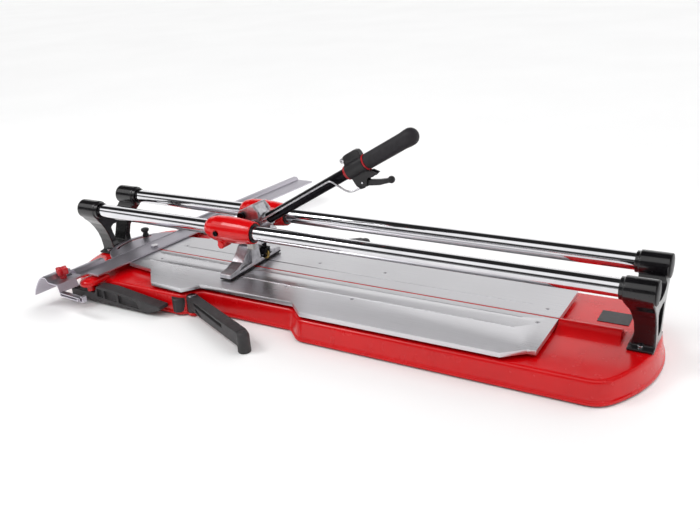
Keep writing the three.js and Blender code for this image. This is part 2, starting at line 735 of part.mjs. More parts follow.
const lugRadius = 9;
const lugHalfWidth = 14.4;
const pivotBoltRadius = 4.5;
const slabBottom = 122;
const slabTop = 134;
const blockTop = 163.5;
const postRadius = 6;
const wheelPostRadius = 5;
function carriageBlock() {
  const blockLeft = carriageX - 28;
  const blockRight = carriageX + 10;
  const slab = box(blockLeft, wheelX + 12, -24, 24, slabBottom, slabTop);
  const tower = box(blockLeft, blockRight, -24, 24, slabTop - 1, blockTop);
  const saddles = box(blockLeft - 3, carriageX + 34, -46, 46, slabBottom + 6, blockTop);
  const yokeRoom = box(blockRight, carriageX + 40, -24, 24, slabTop, blockTop + 1);
  const neck = box(
    leverPivotX - lugRadius, leverPivotX + lugRadius, -lugHalfWidth, lugHalfWidth,
    blockTop - 1, leverPivotHeight,
  );
  const lug = cylinder(
    'y', leverPivotX, leverPivotHeight, lugRadius, -lugHalfWidth, lugHalfWidth, 20,
  );
  const cuts = [-1, 1].map((side) => cylinder(
    'x', side * guideHalfGauge, guideHeight, housingRadius + gap,
    carriageX - housingHalf, carriageX + housingHalf, 28,
  ));
  const boltHole = cylinder(
    'y', leverPivotX, leverPivotHeight, pivotBoltRadius + gap, -lugHalfWidth - 1,
    lugHalfWidth + 1, 16,
  );
  const postBore = cylinder('z', breakerX, 0, postRadius + gap, slabBottom - 1, 156, 16);
  const wheelBore = cylinder('z', wheelX, 0, wheelPostRadius + gap, slabBottom - 1, slabTop + 1, 16);
  return cut(
    join(cut(join(slab, tower, saddles), yokeRoom, ...cuts), neck, lug),
    boltHole, postBore, wheelBore,
  );
}
add(cutter, 'carriage_block', carriageBlock(), castAluminium);

const cheekInner = 15;
const cheekOuter = 22;
const boltHead = cylinder(
  'y', leverPivotX, leverPivotHeight, 8, -cheekOuter - 7, -cheekOuter - gap, 16,
);
const boltShank = cylinder(
  'y', leverPivotX, leverPivotHeight, pivotBoltRadius, -cheekOuter - 1, cheekOuter + 8, 16,
);
add(cutter, 'lever_pivot_bolt', join(boltHead, boltShank), blackSteel);
const pivotNut = cut(
  cylinder('y', leverPivotX, leverPivotHeight, 8, cheekOuter + gap, cheekOuter + 7, 6),
  cylinder('y', leverPivotX, leverPivotHeight, pivotBoltRadius + gap, 0, 60, 16),
);
add(cutter, 'lever_pivot_nut', pivotNut, blackSteel);

// ---------------------------------------------------------------- breaker foot and wheel
const breakerBottom = 64.5;
const breakerTop = 114;
function breakerFoot() {
  const half = [
    point(breakerHalfSpan, breakerBottom), point(breakerHalfSpan, 72),
    point(breakerHalfSpan - 4, 74), point(66, 76.5), point(46, 84), point(31, 98),
    point(21, 110), point(13, breakerTop),
  ];
  const outline = [...half, ...half.map((p) => point(-p.x, p.y)).reverse()];
  const left = breakerX - breakerWidth / 2;
  const right = breakerX + breakerWidth / 2;
  const body = prism('x', outline, left, right);
  const pocket = [point(14, 72), point(58, 70), point(43, 79), point(27, 95), point(14, 103)];
  const pockets = [-1, 1].flatMap((side) => {
    const shape = pocket.map((p) => point(side * p.x, p.y));
    return [
      prism('x', shape, left - 1, left + 8),
      prism('x', shape, right - 8, right + 1),
    ];
  });
  const post = cylinder('z', breakerX, 0, postRadius, breakerTop - 1, 150, 16);
  return join(cut(body, ...pockets), post);
}
add(cutter, 'breaker_foot', breakerFoot(), castAluminium);

const padThickness = 2.7;
for (const [half, group] of halves) {
  const pad = box(
    breakerX - breakerWidth / 2, breakerX + breakerWidth / 2, 10, breakerHalfSpan,
    breakerBottom - gap - padThickness, breakerBottom - gap,
  );
  add(group, `${half}_breaker_pad`, pad, rubber);
}

const breakerSpring = ring(
  'z', breakerX, 0, 10, postRadius + gap, breakerTop + gap, slabBottom - gap, 20,
);
add(cutter, 'breaker_spring', breakerSpring, brightSteel);

const wheelHeight = 92;
const axleRadius = 1.9;
function wheelHolder() {
  const top = wheelHeight + wheelRadius + 3.6;
  const plate = box(wheelX - 8, wheelX + 8, -8, 8, top - 3, top);
  const cheeks = [-1, 1].map((side) => {
    const outline = [
      point(wheelX - 8, top - 2), point(wheelX - 6, wheelHeight - 5),
      point(wheelX + 6, wheelHeight - 5), point(wheelX + 8, top - 2),
    ];
    const edges = [side * 3.4, side * 8].sort((a, b) => a - b);
    return prism('y', outline, ...edges);
  });
  const post = cylinder('z', wheelX, 0, wheelPostRadius, top - 1, slabTop - 1, 16);
  const axleHole = cylinder('y', wheelX, wheelHeight, axleRadius + gap, -9, 9, 12);
  return cut(join(plate, ...cheeks, post), axleHole);
}
add(cutter, 'wheel_holder', wheelHolder(), blackSteel);

function scoringWheel() {
  const bore = axleRadius + gap;
  const profile = [
    [bore, -2.8], [5, -2.8], [6, -1.4], [wheelRadius, -0.3], [wheelRadius, 0.3],
    [6, 1.4], [5, 2.8], [bore, 2.8], [bore, -2.8],
  ];
  return solid(turned(profile, { axis: 'y', sides: 28 }).translate(wheelX, 0, wheelHeight));
}
add(cutter, 'scoring_wheel', scoringWheel(), goldSteel);
const axle = cylinder('y', wheelX, wheelHeight, axleRadius, -9.5, 9.5, 12);
add(cutter, 'wheel_axle', axle, brightSteel);

// ---------------------------------------------------------------- lever
// In the lever's own frame X runs along the tube and Z away from it, from the pivot.
const lever = new THREE.Group();
lever.position.set(leverPivotX, 0, leverPivotHeight);
lever.rotation.y = -radians(leverRestAngle);
cutter.add(lever);

const tubeClear = leverRadius + gap;
const socketOuter = 14.2;
function leverYoke() {
  const cheek = [
    ...arc(0, 0, 12, 70, 285, 12), point(14, -18), point(34, -23), point(40, -10), point(36, 7),
    point(30, 9.5),
  ];
  const cheeks = [
    prism('y', cheek, -cheekOuter, -cheekInner),
    prism('y', cheek, cheekInner, cheekOuter),
  ];
  const web = box(14, 37, -cheekInner - 0.2, cheekInner + 0.2, -20, 5);
  const filler = box(14, 37, -13, 13, -32, -19);
  const socket = cylinder('x', 0, -leverDrop, socketOuter, 14, 44, 24);
  const bore = cylinder('x', 0, -leverDrop, tubeClear, 20, 45, 24);
  const hole = cylinder('y', 0, 0, pivotBoltRadius + gap, -30, 30, 16);
  return cut(join(...cheeks, web, filler, socket), bore, hole);
}
add(lever, 'lever_yoke', leverYoke(), castAluminium);

const leverTube = ring('x', 0, -leverDrop, leverRadius, leverRadius - 2, 20.3, leverLength, 24);
add(lever, 'lever_bar', leverTube, blackSteel);

function grip() {
  const ball = gripRadius + 1;
  const profile = [
    [0, gripStart], [gripRadius - 1, gripStart], [gripRadius, gripStart + 2],
    [gripRadius, gripEnd - 14], [ball - 0.3, gripEnd - 6], [ball, gripEnd],
    [ball * 0.92, gripEnd + 6.5], [ball * 0.7, gripEnd + 11.5], [ball * 0.38, gripEnd + 14.8],
    [0, gripEnd + ball],
  ];
  const sleeve = solid(turned(profile, { axis: 'x', sides: 28 }).translate(0, 0, -leverDrop));
  return cut(sleeve, cylinder('x', 0, -leverDrop, tubeClear, 0, leverLength + gap, 24));
}
add(lever, 'grip', grip(), rubber);

const bracketStart = 268;
const bracketEnd = 309;
const gripCollar = ring(
  'x', 0, -leverDrop, gripRadius + 0.5, tubeClear, bracketEnd + gap, gripStart - gap, 24,
);
add(lever, 'grip_collar', gripCollar, redPlastic);
const leverCollar = ring(
  'x', 0, -leverDrop, gripRadius - 0.8, tubeClear, bracketStart - 6, bracketStart - gap, 24,
);
add(lever, 'lever_collar', leverCollar, redPlastic);

const triggerPivot = [286, -60];
const triggerPinRadius = 2;
const triggerHalfWidth = 4.2;
function triggerBracket() {
  const clamp = cylinder('x', 0, -leverDrop, 16.5, bracketStart, bracketEnd, 24);
  const lugOutline = [
    point(bracketStart, -22), point(bracketStart + 1, -7), point(bracketStart + 4, -2),
    point(bracketStart + 10, 0), point(bracketEnd - 8, 0), point(bracketEnd - 2, -3),
    point(bracketEnd, -8), point(bracketEnd, -22),
  ];
  const lug = prism('y', lugOutline, -6.5, 6.5);
  const cheekOutline = [
    point(bracketStart + 1, -36), point(bracketStart + 3, -60), point(bracketStart + 8, -69),
    point(bracketStart + 17, -70.5), point(bracketStart + 25, -66), point(bracketStart + 32, -57),
    point(bracketStart + 44, -60), point(bracketStart + 54, -57.5),
    point(bracketStart + 45, -47.5), point(bracketEnd, -46.6),
  ];
  const inner = triggerHalfWidth + gap;
  const cheeks = [
    prism('y', cheekOutline, -inner - 4, -inner),
    prism('y', cheekOutline, inner, inner + 4),
  ];
  const bore = cylinder('x', 0, -leverDrop, tubeClear, bracketStart - 1, bracketEnd + 1, 24);
  const pinHole = cylinder('y', ...triggerPivot, triggerPinRadius + gap, -10, 10, 12);
  return cut(join(clamp, lug, ...cheeks), bore, pinHole);
}
add(lever, 'trigger_bracket', triggerBracket(), blackPlastic);

function trigger() {
  const [pivotU, pivotW] = triggerPivot;
  const outline = [
    point(pivotU - 7, pivotW - 1), point(pivotU - 3, pivotW + 5.5), point(pivotU + 4, pivotW + 5.5),
    point(pivotU + 11, pivotW), point(pivotU + 32, pivotW - 9.5), point(pivotU + 51, pivotW - 16),
    point(pivotU + 51, pivotW - 24), point(pivotU + 28, pivotW - 19), point(pivotU + 6, pivotW - 10),
    point(pivotU - 5, pivotW - 9),
  ];
  const blade = prism('y', outline, -triggerHalfWidth, triggerHalfWidth);
  const ballProfile = arc(0, 0, 7, -90, 90, 8).map((p) => [Math.max(p.x, 0), p.y]);
  const ball = solid(turned(ballProfile, { axis: 'y', sides: 14 })
    .translate(pivotU + 53, 0, pivotW - 20));
  const hole = cylinder('y', pivotU, pivotW, triggerPinRadius + gap, -10, 10, 12);
  return cut(join(blade, ball), hole);
}
add(lever, 'trigger', trigger(), blackPlastic);
const triggerPin = cylinder('y', ...triggerPivot, triggerPinRadius, -9.3, 9.3, 12);
add(lever, 'trigger_pin', triggerPin, brightSteel);

const rodSide = -16.8;
const controlRod = wire([
  [18, rodSide, -27.4], [120, rodSide, -27.4], [226, rodSide, -27.4], [232, rodSide, -29],
  [250, rodSide + 0.5, -57], [256, rodSide + 1, -63], [264, rodSide + 2, -66], [279, -11.6, -66],
], 1.9, 36);
add(lever, 'control_rod', controlRod, brightSteel);

// The origin is on the bench, under the middle of everything.
const whole = new THREE.Group();
whole.add(cutter);
const extent = new THREE.Box3().setFromObject(cutter, true);
cutter.position.x = -(extent.min.x + extent.max.x) / 2;
cutter.position.y = -(extent.min.y + extent.max.y) / 2;

export default whole;
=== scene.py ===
import json
import math

import bmesh
import bpy
import numpy as np
from mathutils import Matrix, Vector


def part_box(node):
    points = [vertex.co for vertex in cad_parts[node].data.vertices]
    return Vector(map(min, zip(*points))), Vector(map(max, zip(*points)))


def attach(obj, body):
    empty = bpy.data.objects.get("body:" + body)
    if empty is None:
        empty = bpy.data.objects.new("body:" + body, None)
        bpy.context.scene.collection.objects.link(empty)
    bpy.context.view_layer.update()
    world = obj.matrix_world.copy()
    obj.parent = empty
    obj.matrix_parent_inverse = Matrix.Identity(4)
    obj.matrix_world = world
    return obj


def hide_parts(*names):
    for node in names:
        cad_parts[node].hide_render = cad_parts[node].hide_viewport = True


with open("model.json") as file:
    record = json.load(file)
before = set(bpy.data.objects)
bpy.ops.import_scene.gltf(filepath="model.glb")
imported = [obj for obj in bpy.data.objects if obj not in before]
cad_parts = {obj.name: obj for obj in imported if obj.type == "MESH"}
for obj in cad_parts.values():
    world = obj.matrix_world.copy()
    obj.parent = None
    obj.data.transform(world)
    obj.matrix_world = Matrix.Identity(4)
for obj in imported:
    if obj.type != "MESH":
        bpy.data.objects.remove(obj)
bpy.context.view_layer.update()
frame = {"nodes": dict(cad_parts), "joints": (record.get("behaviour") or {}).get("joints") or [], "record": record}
nodes = frame["nodes"]
mm = 0.001


# where things are, read from the frame
def boxOf(name):
    low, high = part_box(name)
    return np.array(low, float), np.array(high, float)


def middleOf(name):
    low, high = boxOf(name)
    return (low + high) / 2


railLow, railHigh = boxOf("breaking_rail")
cutY = (railLow[1] + railHigh[1]) / 2  # the cut line
bedTop = railHigh[2]
joints = {j["name"]: j for j in frame["joints"]}
pivot = np.array(joints["lever_tilt"]["pos_m"], float)
leverAngle = math.asin(joints["control_rod_pull"]["axis"][2])
fenceTurn = math.radians(joints["fence_swivel"]["range_deg"][0])


def onLever(points):
    # points given along the lever, across it and square to it, in mm, put in place
    p = np.asarray(points, float) * mm
    c, s = math.cos(leverAngle), math.sin(leverAngle)
    return np.stack([p[..., 0] * c - p[..., 2] * s, p[..., 1], p[..., 0] * s + p[..., 2] * c], -1) + pivot


view = {
    "place": (775.85, -1356.18, 667.55), "turn": 0.549696, "tilt": 0.385853, "roll": -0.0667265,
    "lens": 40.13,
}


def makeCamera():
    camera = bpy.data.cameras.new("camera")
    camera.lens = view["lens"]
    camera.sensor_width = 36
    camera.clip_end = 60
    turn, tilt, roll = view["turn"], view["tilt"], view["roll"]
    ahead = Vector((-math.sin(turn) * math.cos(tilt), math.cos(turn) * math.cos(tilt), -math.sin(tilt)))
    side = ahead.cross(Vector((0, 0, 1))).normalized()
    up = side.cross(ahead)
    right = side * math.cos(roll) + up * math.sin(roll)
    top = up * math.cos(roll) - side * math.sin(roll)
    holder = bpy.data.objects.new("camera", camera)
    place = Vector(view["place"]) * mm
    holder.matrix_world = Matrix((
        (right.x, top.x, -ahead.x, place.x),
        (right.y, top.y, -ahead.y, place.y),
        (right.z, top.z, -ahead.z, place.z),
        (0, 0, 0, 1),
    ))
    bpy.context.scene.collection.objects.link(holder)
    bpy.context.scene.camera = holder


def colour(hexCode):
    # sRGB hex to linear
    parts = [int(hexCode[i:i + 2], 16) / 255 for i in (1, 3, 5)]
    return [p / 12.92 if p <= 0.04045 else ((p + 0.055) / 1.055) ** 2.4 for p in parts] + [1]


def addNode(tree, kind, settings=None, **inputs):
    # inputs are values, or sockets to link from
    node = tree.nodes.new(kind)
    for key, value in (settings or {}).items():
        setattr(node, key, value)
    for key, value in inputs.items():
        name = key.replace("_", " ")
        socket = node.inputs[int(name[1:])] if name[0] == "n" and name[1:].isdigit() else node.inputs[name]
        if isinstance(value, bpy.types.NodeSocket):
            tree.links.new(value, socket)
        else:
            socket.default_value = value
    return node


def startMaterial(name, **shader):
    material = bpy.data.materials.new(name)
    material.use_nodes = True
    tree = material.node_tree
    tree.nodes.clear()
    bsdf = addNode(tree, "ShaderNodeBsdfPrincipled", None, **shader)
    addNode(tree, "ShaderNodeOutputMaterial", None, Surface=bsdf.outputs[0])
    place = addNode(tree, "ShaderNodeTexCoord").outputs["Object"]
    return material, tree, bsdf, place


def grain(tree, place, size, stretch=(1, 1, 1), turn=0.0, detail=4, kind="ShaderNodeTexNoise"):
    # a noise whose blotches are about size mm across, longer where stretch is above 1
    mapped = addNode(
        tree, "ShaderNodeMapping", None, Vector=place, Rotation=(0, 0, turn), Scale=[1 / s for s in stretch])
    noise = addNode(tree, kind, None, Vector=mapped.outputs[0], Scale=1 / (size * mm), Detail=detail)
    return noise.outputs[0]


def between(tree, factor, low, high, lowest=0.3, highest=0.7):
    return addNode(
        tree, "ShaderNodeMapRange", None, Value=factor,
        n1=lowest, n2=highest, n3=low, n4=high).outputs[0]


def twoColours(tree, factor, first, second, low=0.3, high=0.7):
    ramp = addNode(tree, "ShaderNodeValToRGB", None, Fac=factor)
    ramp.color_ramp.elements[0].position = low
    ramp.color_ramp.elements[1].position = high
    ramp.color_ramp.elements[0].color = colour(first)
    ramp.color_ramp.elements[1].color = colour(second)
    return ramp.outputs[0]


def bumpFrom(tree, bsdf, height, strength, depth):
    bump = addNode(tree, "ShaderNodeBump", None, Height=height, Strength=strength, Distance=depth * mm)
    tree.links.new(bump.outputs[0], bsdf.inputs["Normal"])


def link(tree, output, bsdf, name):
    tree.links.new(output, bsdf.inputs[name])


def redEnamel(name, hexLow, hexHigh, peel=6.0, rough=0.24):
    # stoved enamel on steel: clear bright red, wet gloss, a faint orange peel
    material, tree, bsdf, place = startMaterial(
        name, Metallic=0.0, IOR=1.45, Coat_Weight=0.1, Coat_Roughness=0.08)
    link(tree, twoColours(tree, grain(tree, place, 60), hexLow, hexHigh), bsdf, "Base Color")
    link(tree, between(tree, grain(tree, place, 25), rough - 0.05, rough + 0.05), bsdf, "Roughness")
    bumpFrom(tree, bsdf, grain(tree, place, peel, detail=2), 0.03, 0.2)
    return material


def blackEnamel():
    # gloss black enamel over die-cast aluminium: deep black, soft waves
    material, tree, bsdf, place = startMaterial(
        "black enamel on cast aluminium", Metallic=0.0, IOR=1.5, Coat_Weight=0.35, Coat_Roughness=0.12)
    link(tree, twoColours(tree, grain(tree, place, 30), "#0c0b0d", "#171518"), bsdf, "Base Color")
    link(tree, between(tree, grain(tree, place, 8), 0.16, 0.28), bsdf, "Roughness")
    bumpFrom(tree, bsdf, grain(tree, place, 4, detail=3), 0.12, 0.3)
    return material


def hardChrome():
    # ground and hard-chromed steel: mirror with the faintest lines around the bar
    material, tree, bsdf, place = startMaterial("hard chrome", Metallic=1.0)
    link(tree, twoColours(tree, grain(tree, place, 90), "#d4d4d8", "#e6e5e8"), bsdf, "Base Color")
    link(tree, between(tree, grain(tree, place, 1.2, (1, 30, 30)), 0.05, 0.11), bsdf, "Roughness")
    bumpFrom(tree, bsdf, grain(tree, place, 0.8, (1, 40, 40), detail=2), 0.02, 0.05)
    return material


def brushedPlate(name, hexLow, hexHigh, rough, turn=0.0, along=(60, 1, 1)):
    # rolled aluminium brushed one way: fine lines, drawn 0.8 mm wide so that they show
    material, tree, bsdf, place = startMaterial(name, Metallic=1.0)
    lines = grain(tree, place, 0.8, along, turn)
    cloud = grain(tree, place, 120, detail=3)
    mixed = addNode(tree, "ShaderNodeMath", {"operation": "MULTIPLY_ADD"}, n0=lines, n1=0.8, n2=cloud)
    link(tree, twoColours(tree, mixed.outputs[0], hexLow, hexHigh, 0.5, 1.05), bsdf, "Base Color")
    link(tree, between(tree, mixed.outputs[0], rough - 0.07, rough + 0.08, 0.5, 1.05), bsdf, "Roughness")
    bumpFrom(tree, bsdf, lines, 0.08, 0.05)
    return material


def castMetal():
    # die-cast aluminium, tumbled: pale grey, satin, slightly pebbled
    material, tree, bsdf, place = startMaterial("tumbled die-cast aluminium", Metallic=1.0)
    link(tree, twoColours(tree, grain(tree, place, 9), "#b4b3b8", "#d6d5d9"), bsdf, "Base Color")
    link(tree, between(tree, grain(tree, place, 5), 0.3, 0.42), bsdf, "Roughness")
    bumpFrom(tree, bsdf, grain(tree, place, 1.6, detail=3), 0.12, 0.2)
    return material


def moulded(name, hexLow, hexHigh, rough, pebble=0.8, depth=0.12):
    # moulded plastic off a spark-eroded tool: even colour, fine pebble, soft gloss
    material, tree, bsdf, place = startMaterial(name, Metallic=0.0, IOR=1.48)
    link(tree, twoColours(tree, grain(tree, place, 20), hexLow, hexHigh), bsdf, "Base Color")
    link(tree, between(tree, grain(tree, place, 6), rough - 0.06, rough + 0.06), bsdf, "Roughness")
    bumpFrom(tree, bsdf, grain(tree, place, pebble, detail=2), 0.5, depth)
    return material


def plainSteel(name, hexLow, hexHigh, rough, size=2.0):
    # turned or drawn steel with a thin plating: bright, with slight tool marks
    material, tree, bsdf, place = startMaterial(name, Metallic=1.0)
    link(tree, twoColours(tree, grain(tree, place, 6), hexLow, hexHigh), bsdf, "Base Color")
    link(tree, between(tree, grain(tree, place, size), rough - 0.06, rough + 0.06), bsdf, "Roughness")
    bumpFrom(tree, bsdf, grain(tree, place, size / 3), 0.06, 0.05)
    return material


def paleFloor():
    # matt painted sweep, almost white
    material, tree, bsdf, place = startMaterial("matt white sweep", Metallic=0.0, IOR=1.3, Roughness=0.9)
    link(tree, twoColours(tree, grain(tree, place, 700), "#f6f6f6", "#f9f9f9"), bsdf, "Base Color")
    return material


finishes = {
    "red_paint": redEnamel("red stoved enamel on steel", "#c8040b", "#d3060e"),
    "red_casting": redEnamel("red enamel on cast aluminium", "#cb050a", "#d8090f", 5.0, 0.2),
    "black_casting": blackEnamel(),
    "chrome": hardChrome(),
    "bare_aluminium": brushedPlate("brushed aluminium plate", "#c9c8cb", "#dedde0", 0.3),
    "anodised_aluminium": brushedPlate(
        "anodised aluminium extrusion", "#b9b5bf", "#cfcbd4", 0.38, fenceTurn, (1, 60, 1)),
    "cast_aluminium": castMetal(),
    "black_plastic": moulded("black ABS moulding", "#131214", "#1c1a1d", 0.42),
    "grey_plastic": moulded("glass-filled nylon", "#2a2829", "#373436", 0.5, 1.2, 0.2),
    "red_plastic": moulded("red ABS moulding", "#a50d18", "#b91420", 0.3),
    "rubber": moulded("black moulded rubber", "#1a171b", "#232025", 0.62, 1.0, 0.25),
    "black_steel": plainSteel("blackened steel", "#17161a", "#242326", 0.3),
    "bright_steel": plainSteel("zinc-plated steel", "#b4b3b8", "#d8d7da", 0.24),
    "gold_steel": plainSteel("titanium nitride on carbide", "#a98a48", "#cdb06c", 0.28),
    "pale_nylon": moulded("natural nylon", "#e2e0da", "#eceae5", 0.4),
    "label_vinyl": moulded("dark vinyl label", "#1d1a1d", "#262226", 0.35, 3.0, 0.05),
}
slotOf = {row["node"]: row["material_slot"] for row in frame["record"]["subparts"]}
bodyOf = {n: b for b, members in frame["record"]["behaviour"]["bodies"].items() for n in members}


def newPiece(name, verts, faces, slot, body, replaces=(), sharp=35):
    mesh = bpy.data.meshes.new(name)
    mesh.from_pydata(np.asarray(verts, float).reshape(-1, 3).tolist(), [], faces)
    piece = bpy.data.objects.new(name, mesh)
    bpy.context.scene.collection.objects.link(piece)
    return finishPiece(piece, slot, body, replaces, sharp)


def finishPiece(piece, slot, body, replaces=(), sharp=35):
    piece.data.materials.clear()
    piece.data.materials.append(finishes[slot])
    piece.data.polygons.foreach_set("use_smooth", [True] * len(piece.data.polygons))
    piece.data.set_sharp_from_angle(angle=math.radians(sharp))
    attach(piece, body)
    if replaces:
        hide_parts(*replaces)
    return piece


def gridFaces(rows, columns, closed):
    # quads of a grid of rows by columns, wrapping round along its columns where it is closed
    across = columns if closed else columns - 1
    r, c = np.meshgrid(np.arange(rows - 1), np.arange(across), indexing="ij")
    a = r * columns + c
    b = r * columns + (c + 1) % columns
    return np.stack([a, b, b + columns, a + columns], -1).reshape(-1, 4).tolist()


def skin(rings, capStart=True, capEnd=True):
    # closed rings of points, (rings, points, 3), joined into one surface with flat ends
    rows, columns = rings.shape[:2]
    faces = gridFaces(rows, columns, True)
    if capStart:
        faces.append(list(range(columns))[::-1])
    if capEnd:
        faces.append([(rows - 1) * columns + i for i in range(columns)])
    return rings.reshape(-1, 3), faces


def turnedRings(profile, steps):
    # a profile of (radius, height) in mm turned about Z: x = r cos t, y = r sin t
    profile = np.asarray(profile, float)
    t = np.linspace(0, 2 * math.pi, steps, endpoint=False)
    ring = np.stack([np.cos(t), np.sin(t)], -1)
    xy = profile[:, None, :1] * ring[None]
    z = np.broadcast_to(profile[:, None, 1:], (len(profile), steps, 1))
    return np.concatenate([xy, z], -1)


def placed(points, axis):
    # points made along Z, turned to run along the axis
    p = np.asarray(points, float)
    if axis == "x":
        return p[..., [2, 0, 1]]
    if axis == "y":
        return p[..., [1, 2, 0]]
    return p


def easedNode(name, width=0.6, sharp=30, segments=2):
    # the CAD solid with its flat faces joined up and its edges rounded by a small bevel
    work = bmesh.new()
    work.from_mesh(nodes[name].data)
    bmesh.ops.remove_doubles(work, verts=work.verts, dist=2e-6)
    bmesh.ops.dissolve_limit(work, angle_limit=math.radians(1), verts=work.verts, edges=work.edges)
    mesh = bpy.data.meshes.new(name + "_eased")
    work.to_mesh(mesh)
    work.free()
    piece = bpy.data.objects.new(name + "_eased", mesh)
    bpy.context.scene.collection.objects.link(piece)
    bevel = piece.modifiers.new("edge", "BEVEL")
    bevel.width = width * mm
    bevel.segments = segments
    bevel.limit_method = "ANGLE"
    bevel.angle_limit = math.radians(sharp)
    bevel.harden_normals = False
    return finishPiece(piece, slotOf[name], bodyOf[name], [name], 40)


def castNode(name, voxel=0.9, passes=4, factor=0.5):
    # the CAD solid softened all over, as a casting's corners are
    work = bmesh.new()
    work.from_mesh(nodes[name].data)
    bmesh.ops.remove_doubles(work, verts=work.verts, dist=2e-6)
    mesh = bpy.data.meshes.new(name + "_cast")
    work.to_mesh(mesh)
    work.free()
    piece = bpy.data.objects.new(name + "_cast", mesh)
    bpy.context.scene.collection.objects.link(piece)
    remesh = piece.modifiers.new("remesh", "REMESH")
    remesh.mode = "VOXEL"
    remesh.voxel_size = voxel * mm
    smooth = piece.modifiers.new("smooth", "SMOOTH")
    smooth.iterations = passes
    smooth.factor = factor
    evaluated = piece.evaluated_get(bpy.context.evaluated_depsgraph_get())
    piece.data = bpy.data.meshes.new_from_object(evaluated)
    piece.modifiers.clear()
    return finishPiece(piece, slotOf[name], bodyOf[name], [name], 180)


makeCamera()
print("camera is set")


pan = {
    "rimHalfWidth": 154, "endRadius": 231, "flare": 6.5, "cornerRadius": 20, "bendRadius": 9,
    "recessStart": -242, "recessEnd": -18, "recessDepth": 31.5, "slantStart": 25, "slantEnd": 35,
    "ear": {"x": -495, "y": 183, "radius": 19},
    "rib": [(30, 44.02), (25, 45.0), (19, 48.6), (14, 51.4), (9.5, 54.2), (6, 58.0), (3.2, 59.6), (0, 59.9)],
}


def roundedLoop(corners, steps=6):
    # a closed outline of (x, y, radius) corners, each swapped for a quadratic curve
    p = np.array([c[:2] for c in corners], float)
    radii = [c[2] for c in corners]
    t = np.linspace(0, 1, steps + 1)[:, None]
    out = []
    for before, here, after, r in zip(np.roll(p, 1, 0), p, np.roll(p, -1, 0), radii):
        if r == 0:
            out.append(here[None])
            continue
        a = here + (before - here) / np.linalg.norm(before - here) * r
        b = here + (after - here) / np.linalg.norm(after - here) * r
        out.append((1 - t) ** 2 * a + 2 * t * (1 - t) * here + t ** 2 * b)
    return np.concatenate(out)


def loftRings(outline, profile):
    # an anticlockwise outline moved outwards by each (distance, height) of the profile, in mm
    edge = np.roll(outline, -1, 0) - outline
    normal = np.stack([edge[:, 1], -edge[:, 0]], -1)
    normal /= np.linalg.norm(normal, axis=1, keepdims=True)
    before = np.roll(normal, 1, 0)
    miter = (normal + before) / (1 + (normal * before).sum(1, keepdims=True))
    profile = np.asarray(profile, float)
    xy = outline[None] + miter[None] * profile[:, None, :1]
    z = np.broadcast_to(profile[:, None, 1:], (len(profile), len(outline), 1))
    return np.concatenate([xy, z], -1)


def fromCut(points):
    # mm measured from the cut line and the bench, put in place
    return np.asarray(points, float) * mm + [0, cutY, 0]


def mergedPiece(name, parts, slot, body, replaces=(), sharp=35):
    # several (verts, faces) skins as one piece
    verts, faces, start = [], [], 0
    for v, f in parts:
        verts.append(v)
        faces += [[i + start for i in face] for face in f]
        start += len(v)
    return newPiece(name, np.concatenate(verts), faces, slot, body, replaces, sharp)


def panOutline():
    half = pan["rimHalfWidth"]
    centre = boxOf("base_pan")[1][0] / mm - pan["flare"] - pan["endRadius"]
    limit = math.asin(half / pan["endRadius"]) - 1.2 * pan["cornerRadius"] / pan["endRadius"]
    t = np.linspace(-limit, limit, 49)
    end = np.stack([centre + pan["endRadius"] * np.cos(t), pan["endRadius"] * np.sin(t)], -1)
    cornerX = centre + math.sqrt(pan["endRadius"] ** 2 - half ** 2)
    start, finish, depth = pan["recessStart"], pan["recessEnd"], pan["recessDepth"]
    bend = pan["bendRadius"]
    rightEnd = [(x, y, 0) for x, y in end]
    back = [
        (cornerX, half, pan["cornerRadius"]), (finish + pan["slantEnd"], half, bend),
        (finish, half - depth, bend), (start, half - depth, bend), (start - pan["slantStart"], half, bend),
        (-cornerX, half, pan["cornerRadius"]),
    ]
    leftEnd = [(-x, -y, 0) for x, y in end]
    front = [(x, -y, r) for x, y, r in back[::-1]]
    return roundedLoop(rightEnd + back + leftEnd + front)


def cutAway(piece, cutters):
    # closed (verts, faces) skins cut out of a piece
    for verts, faces in cutters:
        mesh = bpy.data.meshes.new("cutter")
        mesh.from_pydata(np.asarray(verts).tolist(), [], faces)
        tool = bpy.data.objects.new("cutter", mesh)
        bpy.context.scene.collection.objects.link(tool)
        modifier = piece.modifiers.new("cut", "BOOLEAN")
        modifier.operation = "DIFFERENCE"
        modifier.solver = "EXACT"
        modifier.object = tool
        evaluated = piece.evaluated_get(bpy.context.evaluated_depsgraph_get())
        piece.data = bpy.data.meshes.new_from_object(evaluated)
        piece.modifiers.clear()
        bpy.data.objects.remove(tool)
    piece.data.set_sharp_from_angle(angle=math.radians(35))


